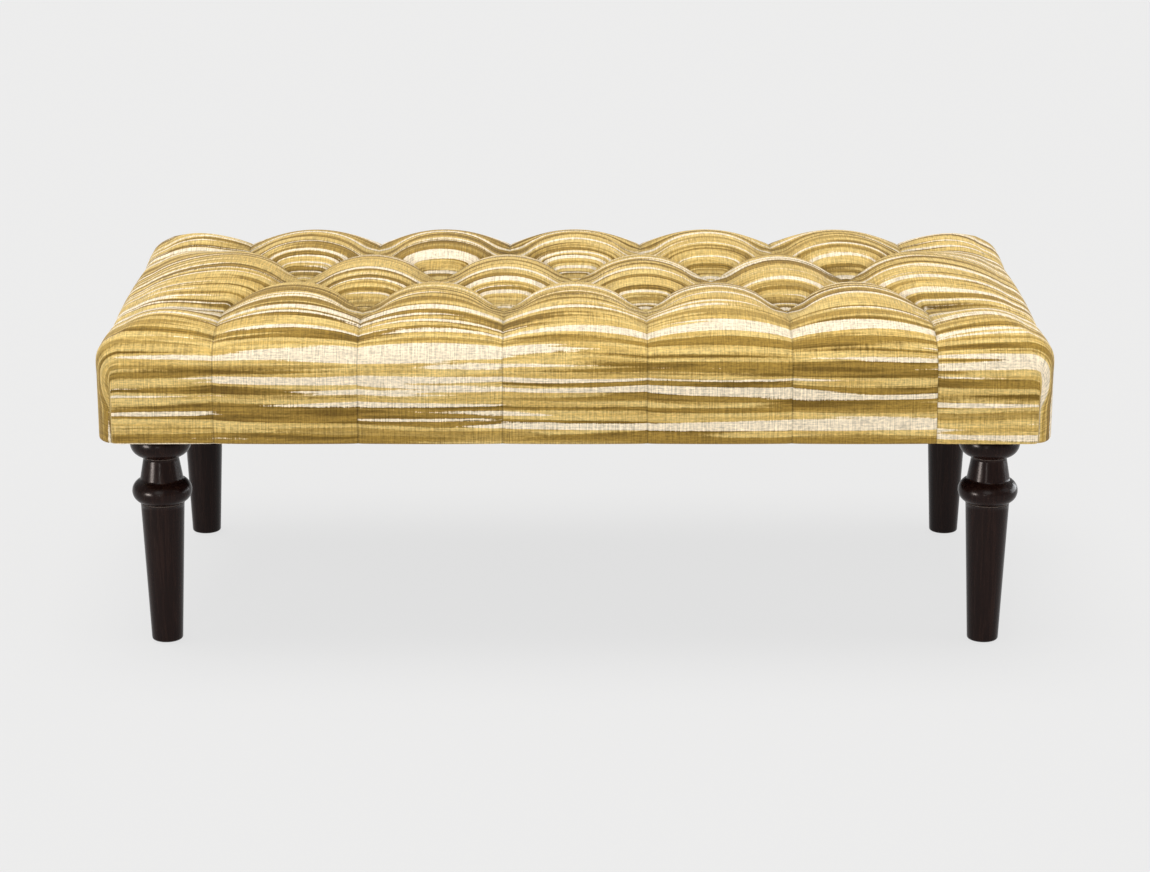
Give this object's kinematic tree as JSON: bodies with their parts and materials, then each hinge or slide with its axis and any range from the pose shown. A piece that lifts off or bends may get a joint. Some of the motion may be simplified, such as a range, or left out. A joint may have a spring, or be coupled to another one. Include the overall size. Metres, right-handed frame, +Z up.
{
  "type": "tufted footstool",
  "caption": "Long low footstool with a diamond-tufted padded seat in striped linen on dark turned legs with beads, collars and tapered shafts.",
  "frame": {"origin": "on the floor under the middle of the seat", "axes": "+X along the seat's length, -Y to the front, +Z up"},
  "size_m": [1.224, 0.6326, 0.4592],
  "materials": {
    "seat_fabric": "slubby linen with brushed ochre, olive and cream stripes",
    "dust_cloth": "black non-woven cloth",
    "foam": "open-cell upholstery foam",
    "batting": "white polyester batting",
    "frame_wood": "planed softwood",
    "plywood": "plain plywood",
    "leg_wood": "espresso stain under satin lacquer",
    "twine": "waxed tufting twine",
    "steel": "zinc-plated steel",
    "glide_plastic": "dark nail-on plastic"
  },
  "bodies": {
    "root": {"seat_cover": "seat_fabric", "dust_cover": "dust_cloth", "foam_pad": "foam", "batting_wrap": "batting", "front_rail": "frame_wood", "rear_rail": "frame_wood", "left_rail": "frame_wood", "right_rail": "frame_wood", "left_cross_rail": "frame_wood", "right_cross_rail": "frame_wood", "corner_block_front_left": "frame_wood", "corner_block_front_right": "frame_wood", "corner_block_rear_left": "frame_wood", "corner_block_rear_right": "frame_wood", "deck_board": "plywood", "leg_front_left": "leg_wood", "leg_front_right": "leg_wood", "leg_rear_left": "leg_wood", "leg_rear_right": "leg_wood", "tuft_twines": "twine", "tuft_washers": "steel", "rail_screws": "steel", "block_screws": "steel", "deck_screws": "steel", "hanger_bolt_front_left": "steel", "hanger_bolt_front_right": "steel", "hanger_bolt_rear_left": "steel", "hanger_bolt_rear_right": "steel", "insert_nut_front_left": "steel", "insert_nut_front_right": "steel", "insert_nut_rear_left": "steel", "insert_nut_rear_right": "steel", "glide_front_left": "glide_plastic", "glide_front_right": "glide_plastic", "glide_rear_left": "glide_plastic", "glide_rear_right": "glide_plastic"}
  },
  "joints": []
}
